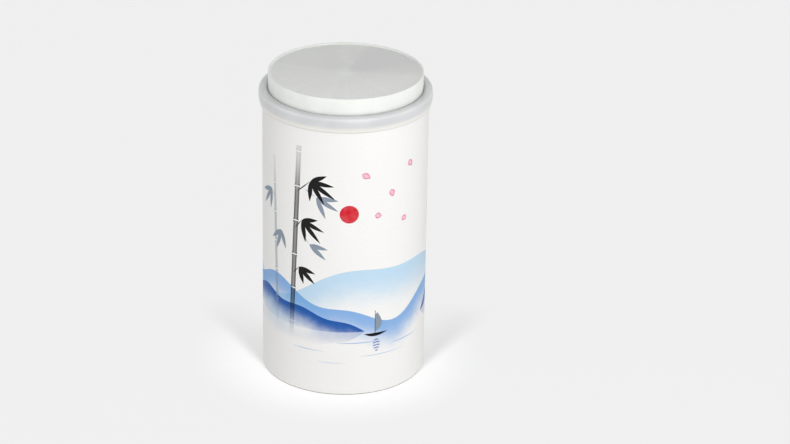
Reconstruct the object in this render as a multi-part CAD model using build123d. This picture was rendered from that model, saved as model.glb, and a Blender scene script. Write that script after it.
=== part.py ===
from build123d import *
import math
import os

# A cylindrical gift tube box: a wound paper tube with a glued-in base, closed at the top by a
# soft collar that clips over the rim and a stopper that plugs into the collar.
# Millimetres. The origin is the centre of the foot, +Z points up the tube, -Y is the front.

# Tube wall, from the outside in
tube_diameter = 80.0
tube_height = 145.0
wrap_thickness = 0.15  # the printed sheet
wrap_lap = 8.0  # how far the sheet overlaps itself at the back
wrap_setback = 0.4  # the sheet's lower edge stops this far above the foot
ply_thickness = 0.3  # each of the three layers of board
liner_thickness = 0.15  # the black paper inside
glue_line = 0.02  # between two papers that are glued together

# Base, set up into the foot of the tube
hoop_setback = 0.5
hoop_height = 2.6
hoop_thickness = 1.0
base_board_thickness = 1.6
base_paper_thickness = 0.15
lining_turn_up = 6.0  # how far the base's black lining climbs the bore
cover_margin = 0.3  # between the base's paper cover and the hoop

# Collar
collar_fit = 0.15  # radial clearance between the collar and the tube
skirt_depth = 6.6  # below the tube's rim, outside
skirt_edge_thickness = 0.9
skirt_top_thickness = 1.5
skirt_lip_radius = 0.25
shoulder_height = 2.9
shoulder_width = 1.8
web_thickness = 1.35  # over the tube's rim, at the crest
web_fall = 0.65  # from the crest down to the collar's mouth
mouth_radius = 0.35
plug_wall = 1.0
plug_depth = 9.0  # below the tube's rim, inside
plug_chamfer = 0.4
seal_rib_height = 0.25
seal_rib_spacing = 3.0
ledge_width = 1.1  # the ledge that the stopper lands on
ledge_thickness = 1.2

# Stopper
stopper_fit = 0.12  # radial clearance between the stopper and the collar
stopper_rise = 7.65  # above the collar's crest
stopper_wall = 1.2
stopper_rim_width = 0.75
stopper_rim_radius = 0.25
stopper_foot_chamfer = 0.4
panel_recess = 1.0
panel_thickness = 1.2
gate_dimple_radius = 2.2
gate_dimple_depth = 0.25
gate_pip_radius = 0.6

# Radii and heights that follow from the sizes above
tube_radius = tube_diameter / 2
outer_ply_radius = tube_radius - wrap_thickness - glue_line
middle_ply_radius = outer_ply_radius - ply_thickness - glue_line
inner_ply_radius = middle_ply_radius - ply_thickness - glue_line
liner_radius = inner_ply_radius - ply_thickness - glue_line
bore_radius = liner_radius - liner_thickness

hoop_radius = bore_radius - glue_line
hoop_bore_radius = hoop_radius - hoop_thickness
hoop_top = hoop_setback + hoop_height
base_board_low = hoop_top + glue_line
base_board_high = base_board_low + base_board_thickness

skirt_inner_radius = tube_radius + wrap_thickness + collar_fit
skirt_edge_radius = skirt_inner_radius + skirt_edge_thickness
collar_radius = skirt_inner_radius + skirt_top_thickness
crest_radius = collar_radius - shoulder_width
seal_rib_radius = bore_radius - collar_fit
plug_radius = seal_rib_radius - seal_rib_height
mouth_bore_radius = plug_radius - plug_wall
ledge_radius = mouth_bore_radius - ledge_width

skirt_low = tube_height - skirt_depth
collar_top = tube_height + web_thickness
shoulder_low = collar_top - shoulder_height
mouth_high = collar_top - web_fall
plug_low = tube_height - plug_depth
ledge_top = plug_low + ledge_thickness
upper_rib_height = tube_height - seal_rib_spacing
lower_rib_height = upper_rib_height - seal_rib_spacing

stopper_radius = mouth_bore_radius - stopper_fit
stopper_bore_radius = stopper_radius - stopper_wall
stopper_rim_bore_radius = stopper_radius - stopper_rim_width
stopper_top = collar_top + stopper_rise
panel_top = stopper_top - panel_recess
panel_low = panel_top - panel_thickness


def ring(outer_radius, inner_radius, low, high):
    """A plain ring about the tube's axis."""
    section = Circle(outer_radius) - Circle(inner_radius)
    return Pos(0, 0, low) * extrude(section, amount=high - low)


def disc(radius, low, high):
    """A plain disc about the tube's axis."""
    return Pos(0, 0, low) * extrude(Circle(radius), amount=high - low)


def rounded(section, point, radius):
    """The section with its corner nearest the point rounded off."""
    corner = section.vertices().sort_by_distance(point)[0]
    return fillet(corner, radius)


def printed_wrap():
    """One sheet round the tube, with its outer end glued over its inner end at the back."""
    lap_angle = math.degrees(wrap_lap / tube_radius)
    lap_start = 90 - lap_angle / 2
    outer = CenterArc((0, 0), tube_radius + wrap_thickness, lap_start, lap_angle)
    inner = CenterArc((0, 0), tube_radius - wrap_thickness / 2, lap_start, lap_angle)
    lap = make_face(outer + inner + Line(inner @ 0, outer @ 0) + Line(inner @ 1, outer @ 1))
    sheet = Circle(tube_radius) - Circle(tube_radius - wrap_thickness)
    return Pos(0, 0, wrap_setback) * extrude(sheet + lap, amount=tube_height - wrap_setback)


def board_ply(radius):
    """One layer of the wound board."""
    return ring(radius, radius - ply_thickness, 0, tube_height)


def bore_liner():
    """The black paper wound inside the board."""
    return ring(liner_radius, bore_radius, 0, tube_height)


def base_hoop():
    """The ring of board glued in the foot, which carries the base."""
    return ring(hoop_radius, hoop_bore_radius, hoop_setback, hoop_top)


def base_board():
    """The stiff disc that closes the tube."""
    return disc(hoop_radius, base_board_low, base_board_high)


def base_cover():
    """The paper on the underside of the base, inside the hoop."""
    high = base_board_low - glue_line
    return disc(hoop_bore_radius - cover_margin, high - base_paper_thickness, high)


def base_lining():
    """The black paper over the base, with its edge turned up and glued to the bore."""
    low = base_board_high + glue_line
    floor = disc(hoop_radius, low, low + base_paper_thickness)
    turn_up = ring(hoop_radius, hoop_radius - base_paper_thickness, low, low + lining_turn_up)
    return floor + turn_up


def seal_rib(height):
    """The half-round outline of one sealing rib on the outside of the plug wall."""
    return ThreePointArc(
        (plug_radius, height - seal_rib_height),
        (seal_rib_radius, height),
        (plug_radius, height + seal_rib_height),
    )


def collar():
    """A channel that clips over the rim: skirt outside, web on top, plug wall inside."""
    skirt = TangentArc((collar_radius, shoulder_low), (skirt_edge_radius, skirt_low), tangent=(0, -1))
    shoulder = EllipticalCenterArc((crest_radius, shoulder_low), shoulder_width, shoulder_height)
    web = TangentArc((crest_radius, collar_top), (mouth_bore_radius, mouth_high), tangent=(-1, 0))
    bore = Polyline(
        (mouth_bore_radius, mouth_high),
        (mouth_bore_radius, ledge_top),
        (ledge_radius, ledge_top),
        (ledge_radius, plug_low),
        (plug_radius - plug_chamfer, plug_low),
        (plug_radius, plug_low + plug_chamfer),
        (plug_radius, lower_rib_height - seal_rib_height),
    )
    lower_rib = seal_rib(lower_rib_height)
    upper_rib = seal_rib(upper_rib_height)
    between_ribs = Line(lower_rib @ 1, upper_rib @ 0)
    channel = Polyline(
        upper_rib @ 1,
        (plug_radius, tube_height),
        (skirt_inner_radius, tube_height),
        (skirt_inner_radius, skirt_low),
        (skirt_edge_radius, skirt_low),
    )
    section = make_face(skirt + shoulder + web + bore + lower_rib + between_ribs + upper_rib + channel)
    section = rounded(section, (mouth_bore_radius, mouth_high), mouth_radius)
    section = rounded(section, (skirt_edge_radius, skirt_low), skirt_lip_radius)
    return revolve(Plane.XZ * section, Axis.Z)


def stopper():
    """A thin-walled cup, upside down, with a sunk top panel and the moulder's gate mark."""
    outline = Polyline(
        (0, panel_low),
        (stopper_bore_radius, panel_low),
        (stopper_bore_radius, ledge_top),
        (stopper_radius - stopper_foot_chamfer, ledge_top),
        (stopper_radius, ledge_top + stopper_foot_chamfer),
        (stopper_radius, stopper_top),
        (stopper_rim_bore_radius, stopper_top),
        (stopper_rim_bore_radius, panel_top),
        (gate_dimple_radius, panel_top),
        (gate_pip_radius, panel_top - gate_dimple_depth),
        (gate_pip_radius, panel_top),
        (0, panel_top),
        close=True,
    )
    section = make_face(outline)
    section = rounded(section, (stopper_radius, stopper_top), stopper_rim_radius)
    section = rounded(section, (stopper_rim_bore_radius, stopper_top), stopper_rim_radius)
    return revolve(Plane.XZ * section, Axis.Z)


pieces = {
    "printed_wrap": printed_wrap(),
    "outer_board_ply": board_ply(outer_ply_radius),
    "middle_board_ply": board_ply(middle_ply_radius),
    "inner_board_ply": board_ply(inner_ply_radius),
    "bore_liner": bore_liner(),
    "base_hoop": base_hoop(),
    "base_board": base_board(),
    "base_cover": base_cover(),
    "base_lining": base_lining(),
    "collar": collar(),
    "stopper": stopper(),
}

os.makedirs("parts", exist_ok=True)
for name, piece in pieces.items():
    export_step(piece, f"parts/{name}.step")
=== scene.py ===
import math

import bpy
from mathutils import Matrix, Vector


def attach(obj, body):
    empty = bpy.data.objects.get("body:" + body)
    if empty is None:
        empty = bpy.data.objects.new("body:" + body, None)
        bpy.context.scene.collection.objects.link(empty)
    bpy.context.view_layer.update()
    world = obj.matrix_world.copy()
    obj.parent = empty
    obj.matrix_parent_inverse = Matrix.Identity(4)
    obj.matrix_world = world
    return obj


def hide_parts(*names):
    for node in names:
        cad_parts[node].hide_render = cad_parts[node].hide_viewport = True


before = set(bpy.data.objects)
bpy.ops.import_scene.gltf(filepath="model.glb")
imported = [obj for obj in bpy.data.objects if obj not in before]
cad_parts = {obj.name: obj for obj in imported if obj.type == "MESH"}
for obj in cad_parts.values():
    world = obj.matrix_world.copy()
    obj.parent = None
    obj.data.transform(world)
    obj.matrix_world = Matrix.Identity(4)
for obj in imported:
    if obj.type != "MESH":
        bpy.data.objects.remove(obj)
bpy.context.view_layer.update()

# A gift tube box: a wound paper tube with a printed wrap, closed by a soft collar and a stopper.
# Metres. The origin is the centre of the foot, +Z points up the tube, -Y is the front.
mm = 0.001
turn = 2 * math.pi

# Tube wall, from the outside in
tube_radius = 40 * mm
tube_height = 145 * mm
wrap_thickness = 0.15 * mm
wrap_lap = 8 * mm
wrap_setback = 0.4 * mm
wrap_climb = 3 * mm  # how gently the sheet climbs over its own end
ply_thickness = 0.3 * mm
liner_thickness = 0.15 * mm
glue_line = 0.02 * mm

# Base
hoop_setback = 0.5 * mm
hoop_height = 2.6 * mm
hoop_thickness = 1.0 * mm
hoop_joint = 0.5 * mm  # where the two ends of its strip meet
hoop_edge_radius = 0.12 * mm
base_board_thickness = 1.6 * mm
base_board_edge_radius = 0.2 * mm
base_paper_thickness = 0.15 * mm
lining_turn_up = 6 * mm
lining_crease = 0.12 * mm
crease_count = 32
cover_margin = 0.3 * mm

# Collar
collar_fit = 0.15 * mm
skirt_depth = 6.6 * mm
skirt_edge_thickness = 0.9 * mm
skirt_top_thickness = 1.5 * mm
skirt_lip_radius = 0.25 * mm
shoulder_height = 2.9 * mm
shoulder_width = 1.8 * mm
web_thickness = 1.35 * mm
web_fall = 0.65 * mm
mouth_radius = 0.35 * mm
mouth_sink = 0.6  # how far its rounding sits below the web's edge, as a share of its radius
mouth_start = 110  # where the rounding takes over from the web, in degrees
plug_wall = 1.0 * mm
plug_depth = 9 * mm
plug_chamfer = 0.4 * mm
seal_rib_height = 0.25 * mm
seal_rib_spacing = 3 * mm
ledge_width = 1.1 * mm
ledge_thickness = 1.2 * mm

# Stopper
stopper_fit = 0.12 * mm
stopper_rise = 7.65 * mm
stopper_wall = 1.2 * mm
stopper_rim_width = 0.75 * mm
stopper_rim_radius = 0.25 * mm
stopper_inner_radius = 0.3 * mm  # the soft corners inside the mould
stopper_foot_chamfer = 0.4 * mm
panel_recess = 1.0 * mm
panel_thickness = 1.2 * mm
gate_dimple_radius = 2.2 * mm
gate_dimple_depth = 0.25 * mm
gate_pip_radius = 0.6 * mm
gate_pip_crown = 0.08 * mm

# Radii and heights that follow
outer_ply_radius = tube_radius - wrap_thickness - glue_line
middle_ply_radius = outer_ply_radius - ply_thickness - glue_line
inner_ply_radius = middle_ply_radius - ply_thickness - glue_line
liner_radius = inner_ply_radius - ply_thickness - glue_line
bore_radius = liner_radius - liner_thickness
hoop_radius = bore_radius - glue_line
hoop_bore_radius = hoop_radius - hoop_thickness
hoop_top = hoop_setback + hoop_height
base_board_low = hoop_top + glue_line
base_board_high = base_board_low + base_board_thickness
cover_high = base_board_low - glue_line
lining_low = base_board_high + glue_line
lining_floor = lining_low + base_paper_thickness
lining_rim = lining_low + lining_turn_up
skirt_inner_radius = tube_radius + wrap_thickness + collar_fit
skirt_edge_radius = skirt_inner_radius + skirt_edge_thickness
collar_radius = skirt_inner_radius + skirt_top_thickness
crest_radius = collar_radius - shoulder_width
seal_rib_radius = bore_radius - collar_fit
plug_radius = seal_rib_radius - seal_rib_height
mouth_bore_radius = plug_radius - plug_wall
ledge_radius = mouth_bore_radius - ledge_width
skirt_low = tube_height - skirt_depth
collar_top = tube_height + web_thickness
shoulder_low = collar_top - shoulder_height
mouth_high = collar_top - web_fall
plug_low = tube_height - plug_depth
ledge_top = plug_low + ledge_thickness
upper_rib_height = tube_height - seal_rib_spacing
lower_rib_height = upper_rib_height - seal_rib_spacing
stopper_radius = mouth_bore_radius - stopper_fit
stopper_bore_radius = stopper_radius - stopper_wall
stopper_rim_bore_radius = stopper_radius - stopper_rim_width
stopper_top = collar_top + stopper_rise
panel_top = stopper_top - panel_recess
panel_low = panel_top - panel_thickness

# Fineness of the meshes
round_steps = 256
climb_steps = 8
corner_steps = 5
skirt_steps = 10
shoulder_steps = 16
web_steps = 8
rib_steps = 8
floor_steps = 128
merge_distance = 0.002 * mm
smooth_angle = math.radians(35)

# The board and its liner are wound from strips on this slant, and each strip's edge shows faintly
winding_slope = 0.44
wrap_seam_height = 131.6 * mm
wrap_seam_width = 1.2 * mm
liner_seam_height = 88 * mm
liner_seam_fade = (0.4 * mm, 0.1 * mm)
liner_seam_step = (-0.1 * mm, 0.15 * mm)
lining_fade = 0.2 * mm  # over which the seam ends at the base's lining

# Raw board, with fine lines across its cut edges, and darker towards its foot
board_line_gap = 0.1 * mm
board_foot_fade = (1.0 * mm, 0.3 * mm)

# The stopper's sunk panel, with what fades in at its edges, and the rings turned in its mould
panel_edge_fade = 0.4 * mm
panel_rise_fade = 0.3 * mm
panel_gate_fade = 8 * mm
panel_pale_fade = (4 * mm, 34 * mm)
panel_ring_gap = 0.6 * mm

# The collar has painted shade down its web and at its lip, a painted highlight on its shoulder and
# painted light low on its thin skirt
web_shade_fade = (crest_radius - 0.9 * mm, mouth_bore_radius + 0.2 * mm)
skirt_light_fade = (skirt_low + 3.6 * mm, skirt_low + 1.2 * mm)
lip_shade_fade = (skirt_low + 0.7 * mm, skirt_low + 0.2 * mm)
shoulder_highlight_rise = 0.2  # where the pale band on its shoulder lies, as a share of the shoulder
shoulder_highlight_width = 0.6

# Camera, at the photograph's viewing angle
image_width = 790
sensor_width = 36  # millimetres, as cameras are measured
focal_pixels = 2843.6
camera_pitch = math.radians(24.68)
camera_roll = math.radians(1.01)
camera_place = (24.65 * mm, -1262.6 * mm, 654.9 * mm)
camera_reach = 20

# Light. Each softbox: name, azimuth from the front, elevation, distance, size, power
world_strength = 0.53
backdrop_white = 0.871
softboxes = (
    ("key_light", 19, 16, 0.6, 0.4, 1.52),
    ("left_fill", -80, 5, 2.5, 1.6, 13.5),
    ("right_fill", 85, 5, 2.5, 1.6, 8.5),
    ("back_fill", 180, 0, 2.5, 1.0, 5.0),
)

# Floor
floor_radius = 6.0
floor_albedo = 0.8
floor_light = 0.72  # the light that falls on the open floor

# The real shadow, seen at the near strength close to the tube and at the far one away from it
shadow_near = 46 * mm
shadow_far = 90 * mm
shadow_depth_near = 0.35
shadow_depth_far = 0.04

# A painted glow of light on the floor round the foot
glow_near = 38 * mm
glow_far = 78 * mm
glow_strength = 0.115
glow_aside = 3 * mm
glow_back = 6 * mm

# A painted shadow: the dim wedge of floor behind the tube, which widens and blurs with distance
shade_half_width = 44.6 * mm
shade_spread = 0.5
shade_edge = 3.5 * mm
shade_blur = 0.12
shade_front = -20 * mm
shade_reach = 68 * mm
shade_strength = 0.215


# Modelling helpers. Turns run clockwise seen from above.


def clear_selection():
    """Leave nothing selected, so that an operator acts only on the next piece."""
    bpy.ops.object.select_all(action="DESELECT")


def named(name):
    """Name the piece in hand and its mesh."""
    piece = bpy.context.object
    piece.name = name
    piece.data.name = name
    return piece


def edit_all():
    """Open the piece in hand with all of it selected."""
    bpy.ops.object.mode_set(mode="EDIT")
    bpy.ops.mesh.select_all(action="SELECT")


def edit_where(piece, test):
    """Open the piece in hand with only the points that pass the test selected."""
    mesh = piece.data
    for parts in (mesh.polygons, mesh.edges, mesh.vertices):
        for part in parts:
            part.select = False
    for vertex in mesh.vertices:
        vertex.select = test(vertex.co)
    bpy.ops.object.mode_set(mode="EDIT")


def finish_edit(piece):
    """Merge doubles, face everything outward, leave edit mode and shade round stretches smooth."""
    bpy.ops.mesh.select_all(action="SELECT")
    bpy.ops.mesh.remove_doubles(threshold=merge_distance)
    bpy.ops.mesh.normals_make_consistent(inside=False)
    bpy.ops.object.mode_set(mode="OBJECT")
    bpy.ops.object.shade_smooth_by_angle(angle=smooth_angle)
    return piece


def arc_points(centre, radii, start, end, steps=corner_steps):
    """Points round part of an ellipse, with angles in degrees, both ends included."""
    angles = [math.radians(start + (end - start) * step / steps) for step in range(steps + 1)]
    return [(centre[0] + radii[0] * math.cos(a), centre[1] + radii[1] * math.sin(a)) for a in angles]


def turned_piece(name, outline, start_at_axis=False, end_at_axis=False):
    """Model a turned piece: a ring of edges, extruded and sized from each outline point to the next.

    The outline is a list of (radius, height) points. It closes on itself unless an end is at the axis,
    where the ring is closed with a fan of faces.
    """
    clear_selection()
    radius, height = outline[0]
    fill = "TRIFAN" if start_at_axis else "NOTHING"
    bpy.ops.mesh.primitive_circle_add(vertices=round_steps, radius=radius, fill_type=fill)
    piece = named(name)
    edit_all()
    bpy.ops.transform.translate(value=(0, 0, height))
    if start_at_axis:
        bpy.ops.mesh.region_to_loop()
    course = outline[1:] if start_at_axis or end_at_axis else outline[1:] + outline[:1]
    for next_radius, next_height in course:
        bpy.ops.mesh.extrude_edges_move(TRANSFORM_OT_translate={"value": (0, 0, next_height - height)})
        share = next_radius / radius
        bpy.ops.transform.resize(value=(share, share, 1), center_override=(0, 0, next_height))
        radius, height = next_radius, next_height
    if end_at_axis:
        bpy.ops.mesh.edge_face_add()
        bpy.ops.mesh.poke()
    return finish_edit(piece)


def stand_section(name, outer, inner, low, high, start):
    """Stand a strip's cut end up at its radius, with the start as an angle in radians from +X."""
    clear_selection()
    bpy.ops.mesh.primitive_plane_add(size=1)
    piece = named(name)
    edit_all()
    bpy.ops.transform.rotate(value=math.pi / 2, orient_axis="X", center_override=(0, 0, 0))
    bpy.ops.transform.resize(value=(outer - inner, 1, high - low), center_override=(0, 0, 0))
    bpy.ops.transform.translate(value=((outer + inner) / 2, 0, (low + high) / 2))
    bpy.ops.transform.rotate(value=-start, orient_axis="Z", center_override=(0, 0, 0))
    return piece


def wind_on(angle, steps):
    """Draw the strip's open end on round the axis."""
    bpy.ops.mesh.spin(steps=steps, angle=angle, center=(0, 0, 0), axis=(0, 0, 1))


def mount(piece, body, node, material):
    """Give a finished piece its material, its CAD node to stand for and the body it rides on."""
    piece.data.materials.clear()
    piece.data.materials.append(material)
    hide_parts(node)
    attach(piece, body)


# Material helpers


class Reading:
    """A value inside a material that plain sums can be written with."""

    def __init__(self, tree, socket):
        self.tree = tree
        self.socket = socket

    def sum(self, operation, *others):
        node = self.tree.nodes.new("ShaderNodeMath")
        node.operation = operation
        for place, value in enumerate((self, *others)):
            if isinstance(value, Reading):
                self.tree.links.new(value.socket, node.inputs[place])
            else:
                node.inputs[place].default_value = value
        return Reading(self.tree, node.outputs[0])

    def __add__(self, other):
        return self.sum("ADD", other)

    def __sub__(self, other):
        return self.sum("SUBTRACT", other)

    def __mul__(self, other):
        return self.sum("MULTIPLY", other)

    def __neg__(self):
        return self.sum("MULTIPLY", -1.0)

    def over(self, other):
        return self.sum("DIVIDE", other)

    def up_to(self, other):
        return self.sum("MINIMUM", other)

    def at_least(self, other):
        return self.sum("MAXIMUM", other)

    def size(self):
        return self.sum("ABSOLUTE")

    def sine(self):
        return self.sum("SINE")

    def angle_over(self, other):
        return self.sum("ARCTAN2", other)

    def wrapped(self, width):
        """Repeat the value every width, running from minus half to plus half of it."""
        return self.sum("WRAP", width / 2, -width / 2)

    def between(self, low, high, start=0.0, end=1.0, ease="SMOOTHSTEP"):
        """Map the stretch from low to high onto start to end."""
        node = self.tree.nodes.new("ShaderNodeMapRange")
        node.interpolation_type = ease
        self.tree.links.new(self.socket, node.inputs["Value"])
        for field, value in zip(("From Min", "From Max", "To Min", "To Max"), (low, high, start, end)):
            node.inputs[field].default_value = value
        return Reading(self.tree, node.outputs["Result"])


class Finish:
    """A material in the making: its node tree, its shader and a few everyday moves."""

    def __init__(self, name):
        self.material = bpy.data.materials.new(name)
        self.material.use_nodes = True
        self.tree = self.material.node_tree
        self.shader = self.tree.nodes["Principled BSDF"]
        self.output = self.tree.nodes["Material Output"]
        self.relief = None

    def node(self, kind, **settings):
        made = self.tree.nodes.new(kind)
        for field, value in settings.items():
            setattr(made, field, value)
        return made

    def link(self, start, end):
        self.tree.links.new(start, end)

    def reading(self, socket):
        return Reading(self.tree, socket)

    def place(self):
        """The point on the piece, in metres."""
        return self.node("ShaderNodeTexCoord").outputs["Object"]

    def split(self, vector):
        parts = self.node("ShaderNodeSeparateXYZ")
        self.link(vector, parts.inputs[0])
        return [self.reading(socket) for socket in parts.outputs]

    def join(self, x, y, z):
        whole = self.node("ShaderNodeCombineXYZ")
        for value, socket in zip((x, y, z), whole.inputs):
            if isinstance(value, Reading):
                self.link(value.socket, socket)
            else:
                socket.default_value = value
        return whole.outputs[0]

    def length(self, vector):
        measure = self.node("ShaderNodeVectorMath", operation="LENGTH")
        self.link(vector, measure.inputs[0])
        return self.reading(measure.outputs["Value"])

    def direction(self, vector):
        """The way a vector points, with its length left out."""
        unit = self.node("ShaderNodeVectorMath", operation="NORMALIZE")
        self.link(vector, unit.inputs[0])
        return unit.outputs["Vector"]

    def facing(self, vector, azimuth):
        """From -1 to 1, how nearly a flat vector points the way of an azimuth, in degrees from +X."""
        product = self.node("ShaderNodeVectorMath", operation="DOT_PRODUCT")
        self.link(self.direction(vector), product.inputs[0])
        angle = math.radians(azimuth)
        product.inputs[1].default_value = (math.cos(angle), math.sin(angle), 0)
        return self.reading(product.outputs["Value"])

    def noise(self, vector, scale, detail=4.0, roughness=0.55, stretch=(1, 1, 1)):
        mapping = self.node("ShaderNodeMapping")
        mapping.inputs["Scale"].default_value = stretch
        self.link(vector, mapping.inputs["Vector"])
        texture = self.node("ShaderNodeTexNoise")
        texture.inputs["Scale"].default_value = scale
        texture.inputs["Detail"].default_value = detail
        texture.inputs["Roughness"].default_value = roughness
        self.link(mapping.outputs[0], texture.inputs["Vector"])
        return self.reading(texture.outputs[0])

    def paint(self, under, over, mask):
        """Lay one colour over another where the mask is 1."""
        mix = self.node("ShaderNodeMix", data_type="RGBA")
        for value, socket in ((under, mix.inputs["A"]), (over, mix.inputs["B"])):
            if isinstance(value, bpy.types.NodeSocket):
                self.link(value, socket)
            else:
                socket.default_value = (*value, 1)
        self.link(mask.socket, mix.inputs["Factor"])
        return next(socket for socket in mix.outputs if socket.type == "RGBA")

    def raise_relief(self, height, distance):
        """Add a layer of relief, with its height in metres, over any that is there."""
        bump = self.node("ShaderNodeBump")
        bump.inputs["Distance"].default_value = distance
        self.link(height.socket, bump.inputs["Height"])
        if self.relief is not None:
            self.link(self.relief, bump.inputs["Normal"])
        self.relief = bump.outputs["Normal"]
        self.link(self.relief, self.shader.inputs["Normal"])

    def colour(self, socket):
        self.link(socket, self.shader.inputs["Base Color"])

    def roughness(self, reading):
        self.link(reading.socket, self.shader.inputs["Roughness"])

    def gloss(self, level):
        self.shader.inputs["Specular IOR Level"].default_value = level

    def let_light_in(self, weight, depth, reach):
        """Let light wander below the surface, to a depth for each of red, green and blue."""
        self.shader.inputs["Subsurface Weight"].default_value = weight
        self.shader.inputs["Subsurface Radius"].default_value = reach
        self.shader.inputs["Subsurface Scale"].default_value = depth


def tone(red, green, blue):
    """A colour read off a screen, as light."""
    return tuple(((c / 255 + 0.055) / 1.055) ** 2.4 for c in (red, green, blue))


# The sunk panel's sheen is painted: painted light makes it paler one way, and painted sheen lies in
# fans elsewhere. Each fan: middle azimuth, degrees away from it where it fades and where it ends, tone
panel_tone = tone(240, 242, 236)
painted_sheen_pale = tone(250, 251, 248)
painted_sheen_dull = tone(227, 227, 228)
painted_sheen_azimuth = 290
painted_sheen_reach = (-0.5, 0.95)  # cosines of the angles from it where the sheen ends and is full
sheen_fan_waver = 0.08  # how unsteady the fans' edges are
painted_sheen_fans = (
    (80, 76, 88, tone(235, 237, 232)),
    (44, 10, 41, painted_sheen_dull),
    (88, 3, 12, tone(239, 241, 236)),
)


def winding_seam(height, azimuth, seam_height):
    """How far a point lies above the slanting seam of a wound strip, in metres."""
    lead = turn * tube_radius * winding_slope
    return (height - azimuth * (winding_slope * tube_radius) - seam_height).wrapped(lead)


# The printed sheet's artwork, in millimetres across and up. Across is from the middle of the front,
# and the same print is repeated at the back.

panel_width = math.pi * tube_radius / mm
ink_edge = 0.05  # over which a printed edge fades

# The lap at the back shows as the sheet's white cut edge and the shadow beside it
lap_edge_fade = (0.16, 0.06)
lap_shadow_place = 0.22
lap_shadow_fade = (0.2, 0.05)

paper_white = tone(249, 248, 246)
paper_shade = tone(243, 242, 240)
lap_shadow = tone(176, 173, 168)
mist_blue = tone(190, 220, 241)
sky_blue = tone(104, 164, 226)
deep_blue = tone(32, 90, 170)
ink_black = tone(6, 6, 9)
ink_grey = tone(140, 152, 166)
petal_pink = tone(230, 108, 160)
sun_red = tone(213, 24, 44)

# Far hills. Each: height, waves as (rise, turns, lead), depth of its wash, colour, strength
hills = (
    (60.0, ((9.0, 2, 0.35), (3.2, 4, 2.1)), 26.0, mist_blue, 0.95),
    (48.0, ((8.0, 2, 3.6), (2.4, 6, 0.7)), 20.0, sky_blue, 0.85),
)
hill_bleed = 6.0  # how unevenly the washes run

# The headland over the water, and its reflection
water_height = 34.0
headland_crest = 5.0
headland_waves = ((9.5, 2, 3.35), (2.2, 4, 1.2), (0.9, 10, 0.4))
headland_wash = 13.0
headland_bleed = 5.0
headland_foot = 0.15  # what is left of the ink where the wash ends
shore_edge = 0.3
reflection_strength = 0.3
reflection_fade = (-9.0, -1.0)  # from the water's height

# Strokes of still water: place, length and half width
water_strokes = (
    ((-3.0, 28.0), 24.0, 0.24),
    ((25.0, 25.2), 20.0, 0.2),
    ((-26.0, 23.0), 18.0, 0.17),
    ((8.0, 20.6), 26.0, 0.15),
    ((-12.0, 17.2), 14.0, 0.12),
)

# Bamboo. Each: across at its foot, lean, half width, height, gap between its joints, ink, strength
canes = (
    (-35.5, -0.03, 0.85, 119.0, 15.0, ink_grey, 0.75),
    (-28.0, 0.045, 1.35, 129.0, 18.0, ink_black, 0.95),
)
cane_mist = (26.0, 50.0)  # the heights between which the canes come out of the mist
cane_top_fade = 28.0
joint_bare = 0.3  # half of the bare line at a joint
joint_swell = 0.25  # how much wider a cane gets at a joint
joint_reach = 1.6  # how far from the joint the swelling ends

# Sprays of leaves and the twigs that carry them, the paler ones behind. Each leaf or twig: root,
# angle, length and half width
leaf_width = 1.15
far_sprays = (
    ((-41.5, 101.0), ((-158, 11.0), (-128, 13.5), (-96, 11.0))),
    ((-13.0, 104.0), ((-4, 11.0), (-30, 12.5), (-66, 11.5))),
    ((-33.5, 82.0), ((-140, 9.5), (-108, 11.5), (-70, 9.5))),
    ((-16.5, 79.0), ((-10, 9.5), (-40, 11.0))),
)
near_sprays = (
    ((-16.0, 112.0), ((-8, 12.0), (-34, 15.0), (-58, 13.5), (-92, 10.5), (24, 9.0))),
    ((-20.5, 91.0), ((-22, 12.5), (-48, 14.5), (-80, 11.5), (8, 8.5))),
    ((-22.0, 66.0), ((-14, 9.0), (-42, 11.5), (-74, 9.0))),
)
far_twigs = (
    ((-38.4, 97.0), 128, 5.2, 0.2),
    ((-19.0, 107.5), -30, 7.0, 0.18),
    ((-20.5, 84.0), -50, 6.4, 0.18),
)
near_twigs = (
    ((-23.5, 105.0), 43, 10.4, 0.28),
    ((-24.4, 86.0), 52, 6.4, 0.24),
    ((-25.4, 62.0), 50, 5.4, 0.22),
)

# Drifting petals: place, angle and length
petal_width = 1.5
petals = (
    ((9.0, 117.0), -32, 4.8),
    ((24.0, 107.0), -72, 4.3),
    ((15.5, 95.0), -12, 3.6),
    ((35.0, 119.0), -55, 4.2),
    ((31.0, 91.0), -40, 3.4),
)

sun_place = (3.0, 96.4)
sun_radius = 4.6

# The boat: place of its waterline's middle, hull, mast and sail
boat_place = (17.0, 32.5)
hull_length = 12.5
hull_depth = 1.7
mast_offset = -0.6
mast_half_width = 0.14
mast_height = 12.0
mast_sink = 0.2  # into the hull
sail_height = 10.4
sail_width = 3.0
sail_gap = 0.6  # above the waterline
sail_lean = 84

# Its reflection: depth under the waterline, lean, share of the sail's height and width
mirror_depth = 2.4
mirror_lean = -88
mirror_share = (0.8, 0.6)


def marked(finish, point, place, angle, length, width):
    """Read a point along and aside of a mark, as shares of the mark's length and half width."""
    mapping = finish.node("ShaderNodeMapping", vector_type="TEXTURE")
    mapping.inputs["Location"].default_value = (*place, 0)
    mapping.inputs["Rotation"].default_value = (0, 0, math.radians(angle))
    mapping.inputs["Scale"].default_value = (length, width, 1)
    finish.link(point, mapping.inputs["Vector"])
    return finish.split(mapping.outputs[0])[:2]


def leaf(finish, point, root, angle, length, width):
    """How far a point lies inside a pointed leaf that is widest near its root, in millimetres."""
    along, aside = marked(finish, point, root, angle, length, width)
    body = along * (-along + 1.0) * (along * -2.4 + 5.2).at_least(1.0)
    return (body - aside.size()) * width


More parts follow.
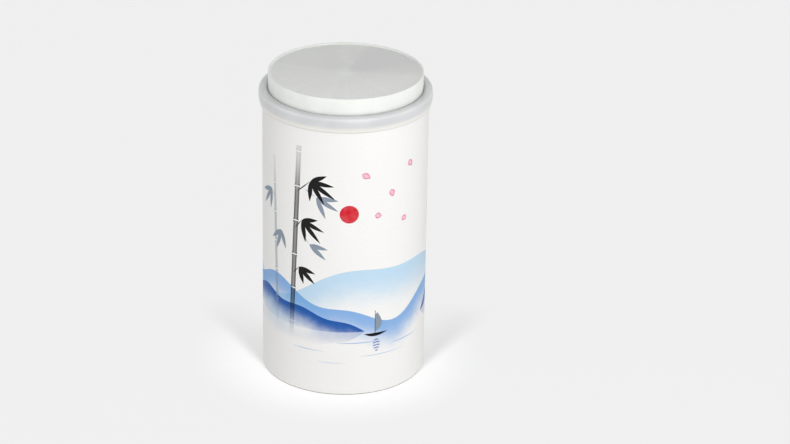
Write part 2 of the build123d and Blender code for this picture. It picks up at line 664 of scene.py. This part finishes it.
def spot(finish, point, centre, radius):
    """How far a point lies inside a round spot, in millimetres."""
    distance = finish.node("ShaderNodeVectorMath", operation="DISTANCE")
    finish.link(point, distance.inputs[0])
    distance.inputs[1].default_value = (*centre, 0)
    return -finish.reading(distance.outputs["Value"]) + radius


def any_of(readings):
    """The greatest of several readings, as for the mark that a point lies deepest in."""
    greatest = readings[0]
    for reading in readings[1:]:
        greatest = greatest.at_least(reading)
    return greatest


def inked(mark):
    """Turn a distance inside a mark into a clean printed edge."""
    return mark.between(-ink_edge, ink_edge)


def ridge_line(across, height, waves):
    """The height of a ridge over each point of the sheet, the same at both edges of the print."""
    line = None
    for rise, turns, lead in waves:
        wave = (across * (turns * math.pi / panel_width) + lead).sine() * rise
        line = wave if line is None else line + wave
    return line + height


def wash_hills(finish, colour, across, up, bleed):
    """Lay each far hill as a wash, strongest at its crest and dissolving downward."""
    for height, waves, depth, ink, strength in hills:
        below = ridge_line(across, height, waves) - up
        uneven = below + bleed * hill_bleed - hill_bleed / 2
        fade = uneven.between(0.0, depth, strength, 0.0, "SMOOTHERSTEP")
        colour = finish.paint(colour, ink, inked(below) * fade)
    return colour


def wash_headland(finish, colour, across, up, bleed):
    """A dark headland standing in the water, over its paler reflection."""
    above_water = up - water_height
    below = ridge_line(across, headland_crest, headland_waves) - above_water.size()
    uneven = below + bleed * headland_bleed - headland_bleed / 2
    fade = uneven.between(0.0, headland_wash, 1.0, headland_foot, "SMOOTHERSTEP")
    shore = above_water.between(-shore_edge, shore_edge, reflection_strength, 1.0)
    shore = shore * above_water.between(*reflection_fade)
    return finish.paint(colour, deep_blue, inked(below) * fade * shore)


def ink_canes(finish, colour, across, up, bleed):
    """Brush the jointed canes, darker at their edges, with a bare line at each joint."""
    mist = up.between(*cane_mist)
    for foot, lean, half_width, height, joint_gap, ink, strength in canes:
        offset = (across - (up * lean + foot)).size()
        joint = up.wrapped(joint_gap).size()
        swell = joint.between(joint_bare, joint_reach, joint_swell, 0.0)
        body = (swell + half_width - offset).up_to(joint - joint_bare).up_to(-up + height)
        shade = offset.between(0.0, half_width, 0.72, 1.0) * bleed.between(0.3, 0.7, 0.92, 1.0)
        top_fade = up.between(height - cane_top_fade, height, strength, 0.3 * strength)
        colour = finish.paint(colour, ink, inked(body) * shade * top_fade * mist)
    return colour


def ink_leaves(finish, colour, point, sprays, twigs, ink, bleed):
    """Brush in sprays of leaves on their twigs, the ink a little uneven."""
    marks = [leaf(finish, point, *twig) for twig in twigs]
    for root, spray in sprays:
        marks += [leaf(finish, point, root, angle, length, leaf_width) for angle, length in spray]
    return finish.paint(colour, ink, inked(any_of(marks)) * bleed.between(0.3, 0.7, 0.985, 1.0))


def ink_boat(finish, colour, point, across, up):
    """A small boat with one sail, and its broken reflection."""
    place_x, place_y = boat_place
    mast_x = place_x + mast_offset
    hull = leaf(finish, point, (place_x - hull_length / 2, place_y), 0, hull_length, hull_depth)
    hull = hull.up_to(-up + place_y)
    sail = leaf(finish, point, (mast_x, place_y + sail_gap), sail_lean, sail_height, sail_width)
    sail = sail.up_to(across - (mast_x + mast_half_width))
    mast = (-(across - mast_x).size() + mast_half_width).up_to(up - (place_y - mast_sink))
    mast = mast.up_to(-up + place_y + mast_height)
    mirror_size = (sail_height * mirror_share[0], sail_width * mirror_share[1])
    mirror = leaf(finish, point, (place_x, place_y - mirror_depth), mirror_lean, *mirror_size)
    ripples = (up * 4.2 + (across * 1.7).sine() * 0.6).sine() * 0.5
    colour = finish.paint(colour, deep_blue, inked(mirror.up_to(ripples)) * 0.7)
    colour = finish.paint(colour, ink_grey, inked(sail))
    return finish.paint(colour, ink_black, inked(any_of([hull, mast])))


def printed_paper():
    """Matt white art paper with a quiet lake scene: hills in blue washes, bamboo, petals and a boat."""
    finish = Finish("printed_paper")
    x, y, height = finish.split(finish.place())
    azimuth = x.angle_over(-y)
    up = height * (1 / mm)
    across = (azimuth * (tube_radius / mm)).wrapped(panel_width)
    point = finish.join(across, up, 0.0)
    bleed = finish.noise(point, 0.16, 5)
    mottle = finish.noise(point, 1.6, 3)

    colour = finish.paint(paper_shade, paper_white, mottle.between(0.35, 0.65))
    sun = inked(spot(finish, point, sun_place, sun_radius)) * bleed.between(0.3, 0.7, 0.9, 1.0)
    colour = finish.paint(colour, sun_red, sun)
    colour = wash_hills(finish, colour, across, up, bleed)
    colour = wash_headland(finish, colour, across, up, bleed)
    strokes = [leaf(finish, point, place, 0, length, width) for place, length, width in water_strokes]
    colour = finish.paint(colour, sky_blue, inked(any_of(strokes)) * 0.7)
    colour = ink_boat(finish, colour, point, across, up)
    colour = ink_canes(finish, colour, across, up, mottle)
    colour = ink_leaves(finish, colour, point, far_sprays, far_twigs, ink_grey, mottle)
    colour = ink_leaves(finish, colour, point, near_sprays, near_twigs, ink_black, mottle)
    drift = [leaf(finish, point, place, angle, length, petal_width) for place, angle, length in petals]
    petal = any_of(drift)
    colour = finish.paint(colour, petal_pink, inked(petal) * petal.between(0.0, 1.1, 1.0, 0.45))
    from_lap = (azimuth - (turn - wrap_lap / tube_radius) / 2) * (tube_radius / mm)
    beside_lap = (from_lap + lap_shadow_place).size().between(*lap_shadow_fade)
    colour = finish.paint(colour, paper_white, from_lap.size().between(*lap_edge_fade) * 0.7)
    colour = finish.paint(colour, lap_shadow, beside_lap * 0.55)
    finish.colour(colour)

    fibre = finish.noise(point, 8.0, 4, 0.6)
    finish.roughness(fibre.between(0.2, 0.8, 0.42, 0.52, "LINEAR"))
    finish.gloss(0.15)
    seam = winding_seam(height, azimuth, wrap_seam_height)
    finish.raise_relief(seam.size().between(0.0, wrap_seam_width), 0.03 * mm)
    finish.raise_relief(fibre, 0.004 * mm)
    return finish.material


def tube_board():
    """Raw cream board: soft fibres, fine lines across its cut edges and a darker foot."""
    finish = Finish("tube_board")
    place = finish.place()
    x, y, height = finish.split(place)
    from_axis = finish.length(finish.join(x, y, 0.0))
    fibre = finish.noise(place, 1600, 5, 0.65, (1, 1, 0.35))
    cloud = finish.noise(place, 180, 3)
    colour = finish.paint(tone(213, 202, 173), tone(237, 229, 204), fibre.between(0.3, 0.7))
    colour = finish.paint(colour, tone(226, 216, 188), cloud.between(0.4, 0.65))
    lines = (from_axis * (turn / board_line_gap) + finish.noise(place, 700, 2) * 3.0).sine()
    colour = finish.paint(colour, tone(136, 130, 108), height.between(*board_foot_fade) * 0.9)
    finish.colour(colour)
    finish.roughness(fibre.between(0.2, 0.8, 0.78, 0.92, "LINEAR"))
    finish.gloss(0.25)
    finish.raise_relief(lines, 0.006 * mm)
    finish.raise_relief(fibre, 0.03 * mm)
    return finish.material


def base_greyboard():
    """Pressed grey board with the odd dark and pale fleck of fibre."""
    finish = Finish("base_greyboard")
    place = finish.place()
    fibre = finish.noise(place, 900, 6, 0.7)
    fleck = finish.noise(place, 420, 3, 0.4, (1, 2.2, 1))
    colour = finish.paint(tone(150, 143, 131), tone(186, 180, 167), fibre.between(0.3, 0.7))
    colour = finish.paint(colour, tone(112, 106, 98), fleck.between(0.66, 0.72))
    colour = finish.paint(colour, tone(208, 202, 190), fleck.between(0.34, 0.29))
    finish.colour(colour)
    finish.roughness(fibre.between(0.2, 0.8, 0.82, 0.94, "LINEAR"))
    finish.gloss(0.2)
    finish.raise_relief(fibre, 0.04 * mm)
    return finish.material


def base_paper():
    """Plain white cover paper, with a little cockle where the glue pulled it."""
    finish = Finish("base_paper")
    place = finish.place()
    fibre = finish.noise(place, 1500, 4, 0.6)
    cockle = finish.noise(place, 55, 2)
    finish.colour(finish.paint(tone(229, 228, 225), tone(238, 237, 234), fibre.between(0.3, 0.7)))
    finish.roughness(fibre.between(0.2, 0.8, 0.55, 0.66, "LINEAR"))
    finish.gloss(0.35)
    finish.raise_relief(cockle, 0.12 * mm)
    finish.raise_relief(fibre, 0.01 * mm)
    return finish.material


def black_paper():
    """Dyed black paper with a low sheen, wound with a faint slanting seam above the base's lining, in
    relief and a painted highlight.
    """
    finish = Finish("black_paper")
    place = finish.place()
    x, y, height = finish.split(place)
    azimuth = x.angle_over(-y)
    seam = winding_seam(height, azimuth, liner_seam_height)
    fibre = finish.noise(place, 1400, 4, 0.6)
    rubbed = finish.noise(place, 130, 4)
    colour = finish.paint(tone(20, 22, 28), tone(31, 33, 41), fibre.between(0.3, 0.7))
    wound = height.between(lining_rim, lining_rim + lining_fade)
    # The seam's pale line is a painted highlight on the edge of its step in relief
    seam_highlight = seam.size().between(*liner_seam_fade) * wound
    colour = finish.paint(colour, tone(72, 74, 84), seam_highlight * 0.9)
    finish.colour(colour)
    finish.roughness(rubbed.between(0.3, 0.7, 0.44, 0.6, "LINEAR"))
    finish.gloss(0.4)
    finish.raise_relief(seam.between(*liner_seam_step) * wound, 0.05 * mm)
    finish.raise_relief(fibre, 0.008 * mm)
    return finish.material


def stopper_plastic():
    """Opaque white satin plastic, with turned rings and a faint painted sheen on its sunk panel."""
    finish = Finish("stopper_plastic")
    place = finish.place()
    x, y, height = finish.split(place)
    flat = finish.join(x, y, 0.0)
    from_axis = finish.length(flat)
    cloud = finish.noise(place, 60, 3)
    grain = finish.noise(place, 2600, 3)
    colour = finish.paint(tone(241, 244, 239), tone(247, 249, 245), cloud.between(0.35, 0.65))
    on_panel = from_axis.between(stopper_rim_bore_radius, stopper_rim_bore_radius - panel_edge_fade)
    on_panel = on_panel * from_axis.between(0.0, panel_gate_fade)
    on_panel = on_panel * height.between(panel_low, panel_top - panel_rise_fade)
    colour = finish.paint(colour, panel_tone, on_panel)
    # Painted light: the panel is painted paler towards one side
    pale = finish.facing(flat, painted_sheen_azimuth).between(*painted_sheen_reach, ease="LINEAR")
    colour = finish.paint(colour, painted_sheen_pale, pale * from_axis.between(*panel_pale_fade) * on_panel)
    # Fans of painted sheen, their edges wavering
    waver = finish.noise(place, 170, 4, 0.6) * (2 * sheen_fan_waver) - sheen_fan_waver
    for azimuth, fades, ends, ink in painted_sheen_fans:
        toward = finish.facing(flat, azimuth) + waver
        fan = toward.between(math.cos(math.radians(ends)), math.cos(math.radians(fades)))
        colour = finish.paint(colour, ink, fan * on_panel)
    # Radial streaks of painted sheen, with fine specks of grain
    streaks = finish.noise(finish.direction(flat), 6.0, 5, 0.7)
    specks = finish.noise(place, 1100, 3)
    sheen_streaks_and_grain = streaks.between(0.4, 0.7, 0.0, 0.18) + specks.between(0.35, 0.65, 0.0, 0.3)
    colour = finish.paint(colour, painted_sheen_dull, sheen_streaks_and_grain * on_panel)
    finish.colour(colour)
    finish.roughness(cloud.between(0.3, 0.7, 0.36, 0.44, "LINEAR"))
    finish.let_light_in(0.35, 1.2 * mm, (1.0, 1.0, 0.94))
    rings = (from_axis * (turn / panel_ring_gap) + finish.noise(place, 90, 2) * 1.5).sine()
    finish.raise_relief(rings, 0.003 * mm)
    finish.raise_relief(grain, 0.003 * mm)
    return finish.material


def collar_plastic():
    """Milky soft plastic that light sinks into, with painted shade on its web and lip, a painted
    highlight on its shoulder and painted light low on its skirt.
    """
    finish = Finish("collar_plastic")
    place = finish.place()
    x, y, height = finish.split(place)
    from_axis = finish.length(finish.join(x, y, 0.0))
    cloud = finish.noise(place, 70, 3)
    colour = finish.paint(tone(216, 217, 218), tone(222, 223, 224), cloud.between(0.35, 0.65))
    # Painted shade down the web towards the stopper
    colour = finish.paint(colour, tone(178, 180, 182), from_axis.between(*web_shade_fade))
    # A painted highlight in a band round the shoulder
    out = (from_axis - crest_radius) * (1 / shoulder_width)
    up = (height - shoulder_low) * (1 / shoulder_height)
    band = (up - out + shoulder_highlight_rise).size().between(shoulder_highlight_width, 0.0)
    colour = finish.paint(colour, tone(240, 241, 242), band * 0.45)
    # Painted light: the thin skirt is painted paler low down, for light through it
    colour = finish.paint(colour, tone(240, 239, 234), height.between(*skirt_light_fade))
    # Painted shade just above the lip
    colour = finish.paint(colour, tone(214, 213, 208), height.between(*lip_shade_fade))
    finish.colour(colour)
    finish.roughness(cloud.between(0.3, 0.7, 0.28, 0.36, "LINEAR"))
    finish.let_light_in(0.9, 1.1 * mm, (1.0, 1.02, 1.1))
    grain = finish.noise(place, 1800, 3)
    finish.raise_relief(grain, 0.002 * mm)
    return finish.material


# Tube


def rolled_wrap():
    """Roll the printed sheet round the tube, its outer end climbing over its inner end at the back."""
    lap_angle = wrap_lap / tube_radius
    climb_angle = wrap_climb / tube_radius
    climb_turn = climb_angle / climb_steps
    start = math.pi / 2 + lap_angle / 2
    inner = tube_radius - wrap_thickness
    piece = stand_section("wrap_sheet", tube_radius, inner, wrap_setback, tube_height, start)
    wind_on(turn - climb_angle, round_steps)
    radius = tube_radius
    for step in range(1, climb_steps + 1):
        share = step / climb_steps
        next_radius = tube_radius + wrap_thickness * share * share * (3 - 2 * share)
        bpy.ops.mesh.extrude_region_move()
        bpy.ops.transform.rotate(value=climb_turn, orient_axis="Z", center_override=(0, 0, 0))
        growth = next_radius / radius
        bpy.ops.transform.resize(value=(growth, growth, 1), center_override=(0, 0, 0))
        radius = next_radius
    wind_on(lap_angle, climb_steps)
    return finish_edit(piece)


def ring_outline(outer, inner, low, high):
    """The section of a plain ring."""
    return [(outer, low), (outer, high), (inner, high), (inner, low)]


# Base


def hoop_strip():
    """The hoop is a strip of board bent round, so its two ends meet in a joint at the back."""
    gap_angle = hoop_joint / hoop_radius
    start = math.pi / 2 - gap_angle / 2
    piece = stand_section("foot_hoop", hoop_radius, hoop_bore_radius, hoop_setback, hoop_top, start)
    wind_on(turn - gap_angle, round_steps)
    finish_edit(piece)
    soften = piece.modifiers.new("soft_edge", "BEVEL")
    soften.width = hoop_edge_radius
    soften.segments = 2
    soften.limit_method = "ANGLE"
    bpy.ops.object.modifier_apply(modifier=soften.name)
    return piece


def base_disc():
    """The stiff disc, its die-cut edge a little rounded."""
    soft = (base_board_edge_radius, base_board_edge_radius)
    inset = hoop_radius - base_board_edge_radius
    lower = arc_points((inset, base_board_low + base_board_edge_radius), soft, -90, 0)
    upper = arc_points((inset, base_board_high - base_board_edge_radius), soft, 0, 90)
    return turned_piece("base_disc", lower + upper, start_at_axis=True, end_at_axis=True)


def cover_disc():
    """The paper under the base."""
    radius = hoop_bore_radius - cover_margin
    low = cover_high - base_paper_thickness
    outline = [(radius, low), (radius, cover_high)]
    return turned_piece("base_cover_paper", outline, start_at_axis=True, end_at_axis=True)


def creased_lining():
    """The black paper over the base, with its edge turned up and creased to fit the bore."""
    inner = hoop_radius - base_paper_thickness
    bend = base_paper_thickness * 2
    outline = [
        (hoop_radius - bend, lining_low),
        (hoop_radius, lining_low + bend),
        (hoop_radius, lining_rim),
        (inner, lining_rim),
        (inner, lining_floor + bend),
        (inner - bend, lining_floor),
    ]
    piece = turned_piece("base_lining_paper", outline, start_at_axis=True, end_at_axis=True)
    crease_gap = turn / crease_count
    half_step = turn / round_steps / 2

    def on_crease(point):
        away = abs((math.atan2(point.y, point.x) + crease_gap / 2) % crease_gap - crease_gap / 2)
        on_inside = point.xy.length < inner + merge_distance
        return away < half_step and on_inside and point.z > lining_floor + bend / 2

    edit_where(piece, on_crease)
    share = 1 - lining_crease / inner
    bpy.ops.transform.resize(value=(share, share, 1), center_override=(0, 0, 0))
    return finish_edit(piece)


# Collar and stopper


def collar_outline():
    """The channel that clips over the rim, from the skirt's lip round the crest and down the plug."""
    lip = arc_points(
        (skirt_edge_radius - skirt_lip_radius, skirt_low + skirt_lip_radius),
        (skirt_lip_radius, skirt_lip_radius), -90, 0,
    )
    skirt_rise = shoulder_low - skirt_low
    skirt_swell = collar_radius - skirt_edge_radius
    skirt = []
    for step in range(1, skirt_steps):
        share = step / skirt_steps
        height = skirt_low + skirt_lip_radius + (skirt_rise - skirt_lip_radius) * share
        down = (shoulder_low - height) / skirt_rise
        skirt.append((collar_radius - skirt_swell * down * down, height))
    crest = (shoulder_width, shoulder_height)
    shoulder = arc_points((crest_radius, shoulder_low), crest, 0, 90, shoulder_steps)
    web = []
    web_width = crest_radius - mouth_bore_radius
    for step in range(1, web_steps - 1):
        share = step / web_steps
        web.append((crest_radius - web_width * share, collar_top - web_fall * share * share))
    mouth_centre = (mouth_bore_radius + mouth_radius, mouth_high - mouth_radius * mouth_sink)
    mouth = arc_points(mouth_centre, (mouth_radius, mouth_radius), mouth_start, 180)
    bore = [
        (mouth_bore_radius, ledge_top),
        (ledge_radius, ledge_top),
        (ledge_radius, plug_low),
        (plug_radius - plug_chamfer, plug_low),
        (plug_radius, plug_low + plug_chamfer),
    ]
    ribs = []
    for height in (lower_rib_height, upper_rib_height):
        ribs += arc_points((plug_radius, height), (seal_rib_height, seal_rib_height), -90, 90, rib_steps)
    channel = [
        (plug_radius, tube_height),
        (skirt_inner_radius, tube_height),
        (skirt_inner_radius, skirt_low),
    ]
    return lip + skirt + shoulder + web + mouth + bore + ribs + channel


def stopper_outline():
    """The upturned cup, from the underside of its panel round the foot, the rim and the gate mark."""
    inner_corner = arc_points(
        (stopper_bore_radius - stopper_inner_radius, panel_low - stopper_inner_radius),
        (stopper_inner_radius, stopper_inner_radius), 90, 0,
    )
    foot = [
        (stopper_bore_radius, ledge_top),
        (stopper_radius - stopper_foot_chamfer, ledge_top),
        (stopper_radius, ledge_top + stopper_foot_chamfer),
    ]
    rim_high = stopper_top - stopper_rim_radius
    soft = (stopper_rim_radius, stopper_rim_radius)
    rim_outside = arc_points((stopper_radius - stopper_rim_radius, rim_high), soft, 0, 90)
    rim_inside = arc_points((stopper_rim_bore_radius + stopper_rim_radius, rim_high), soft, 90, 180)
    panel_corner = arc_points(
        (stopper_rim_bore_radius - stopper_rim_radius, panel_top + stopper_rim_radius), soft, 0, -90,
    )
    gate = [
        (gate_dimple_radius, panel_top),
        (gate_pip_radius * 1.1, panel_top - gate_dimple_depth),
        (gate_pip_radius, panel_top - gate_dimple_depth * 0.8),
        (gate_pip_radius * 0.9, panel_top - gate_dimple_depth * 0.2),
        (gate_pip_radius * 0.5, panel_top + gate_pip_crown * 0.6),
    ]
    middle = [(gate_pip_radius, panel_low)]
    return middle + inner_corner + foot + rim_outside + rim_inside + panel_corner + gate


# Camera, light and floor


def add_camera():
    """A long lens from a little above, level but for a slight roll."""
    data = bpy.data.cameras.new("photo_camera")
    data.sensor_width = sensor_width
    data.lens = focal_pixels / image_width * sensor_width
    data.clip_end = camera_reach
    camera = bpy.data.objects.new("photo_camera", data)
    bpy.context.scene.collection.objects.link(camera)
    look_down = Matrix.Rotation(math.pi / 2 - camera_pitch, 4, "X")
    roll = Matrix.Rotation(camera_roll, 4, "Z")
    camera.matrix_world = Matrix.Translation(camera_place) @ look_down @ roll
    bpy.context.scene.camera = camera


def looked_at(tree):
    """1 for what the camera, a gloss or clear plastic shows, and 0 for light that falls on things."""
    path = tree.nodes.new("ShaderNodeLightPath")
    kinds = ("Is Camera Ray", "Is Glossy Ray", "Is Transmission Ray")
    return any_of([Reading(tree, path.outputs[kind]) for kind in kinds])


def add_floor():
    """A pale floor that keeps the object's shadow close to it and shows the studio's white, with a
    painted glow round the foot and a painted shadow behind the tube.
    """
    clear_selection()
    bpy.ops.mesh.primitive_circle_add(vertices=floor_steps, radius=floor_radius, fill_type="NGON")
    floor = named("floor")
    finish = Finish("floor_paper")
    finish.shader.inputs["Base Color"].default_value = (floor_albedo, floor_albedo, floor_albedo, 1)
    finish.shader.inputs["Roughness"].default_value = 0.9
    finish.gloss(0.0)
    place = finish.place()
    x, y = finish.split(place)[:2]
    from_axis = finish.length(place)
    depth = from_axis.between(shadow_near, shadow_far, shadow_depth_near, shadow_depth_far)
    shaded = finish.node("ShaderNodeBsdfDiffuse")
    finish.link(finish.join(depth, depth, depth), shaded.inputs["Color"])
    # A painted glow of light on the floor round the foot
    from_glow = finish.length(finish.join(x + glow_aside, y - glow_back, 0.0))
    glow = from_glow.between(glow_near, glow_far, glow_strength, 0.0)
    # A painted shadow in a wedge behind the tube
    beside = x.size() - (y * shade_spread + shade_half_width)
    behind = y.between(shade_front - shade_edge, shade_front + shade_edge)
    within = beside.over(y * shade_blur + shade_edge).between(1.0, -1.0)
    shade = within * behind * y.between(0.0, shade_reach, shade_strength, 0.0)
    lit = finish.node("ShaderNodeEmission")
    finish.link((glow - shade - depth * floor_light + backdrop_white).socket, lit.inputs["Strength"])
    seen = finish.node("ShaderNodeAddShader")
    finish.link(shaded.outputs[0], seen.inputs[0])
    finish.link(lit.outputs[0], seen.inputs[1])
    mix = finish.node("ShaderNodeMixShader")
    finish.link(looked_at(finish.tree).socket, mix.inputs[0])
    finish.link(finish.shader.outputs[0], mix.inputs[1])
    finish.link(seen.outputs[0], mix.inputs[2])
    finish.link(mix.outputs[0], finish.output.inputs["Surface"])
    floor.data.materials.append(finish.material)


def add_softbox(name, azimuth, elevation, distance, size, power):
    """A square soft light that faces the middle of the tube."""
    data = bpy.data.lights.new(name, "AREA")
    data.shape = "SQUARE"
    data.size = size
    data.energy = power
    light = bpy.data.objects.new(name, data)
    bpy.context.scene.collection.objects.link(light)
    level = math.cos(math.radians(elevation))
    direction = Vector((
        math.sin(math.radians(azimuth)) * level,
        -math.cos(math.radians(azimuth)) * level,
        math.sin(math.radians(elevation)),
    ))
    light.location = Vector((0, 0, tube_height / 2)) + direction * distance
    light.rotation_euler = direction.to_track_quat("Z", "Y").to_euler()


def add_world():
    """Even studio light from all round, in front of a white backdrop."""
    world = bpy.data.worlds.new("studio")
    bpy.context.scene.world = world
    world.use_nodes = True
    tree = world.node_tree
    background = tree.nodes["Background"]
    background.inputs["Color"].default_value = (1, 1, 1, 1)
    strength = looked_at(tree).between(0.0, 1.0, world_strength, backdrop_white, "LINEAR")
    tree.links.new(strength.socket, background.inputs["Strength"])


add_camera()
add_floor()
add_world()
for softbox in softboxes:
    add_softbox(*softbox)
bpy.context.scene.view_settings.view_transform = "Standard"

board = tube_board()
black = black_paper()

mount(rolled_wrap(), "tube", "printed_wrap", printed_paper())
for name, node, radius in (
    ("outer_ply", "outer_board_ply", outer_ply_radius),
    ("middle_ply", "middle_board_ply", middle_ply_radius),
    ("inner_ply", "inner_board_ply", inner_ply_radius),
):
    ply = turned_piece(name, ring_outline(radius, radius - ply_thickness, 0, tube_height))
    mount(ply, "tube", node, board)
liner = turned_piece("black_liner", ring_outline(liner_radius, bore_radius, 0, tube_height))
mount(liner, "tube", "bore_liner", black)

mount(hoop_strip(), "tube", "base_hoop", board)
mount(base_disc(), "tube", "base_board", base_greyboard())
mount(cover_disc(), "tube", "base_cover", base_paper())
mount(creased_lining(), "tube", "base_lining", black)

collar = turned_piece("collar_ring", collar_outline())
mount(collar, "collar", "collar", collar_plastic())
stopper = turned_piece("stopper_cap", stopper_outline(), start_at_axis=True, end_at_axis=True)
mount(stopper, "stopper", "stopper", stopper_plastic())
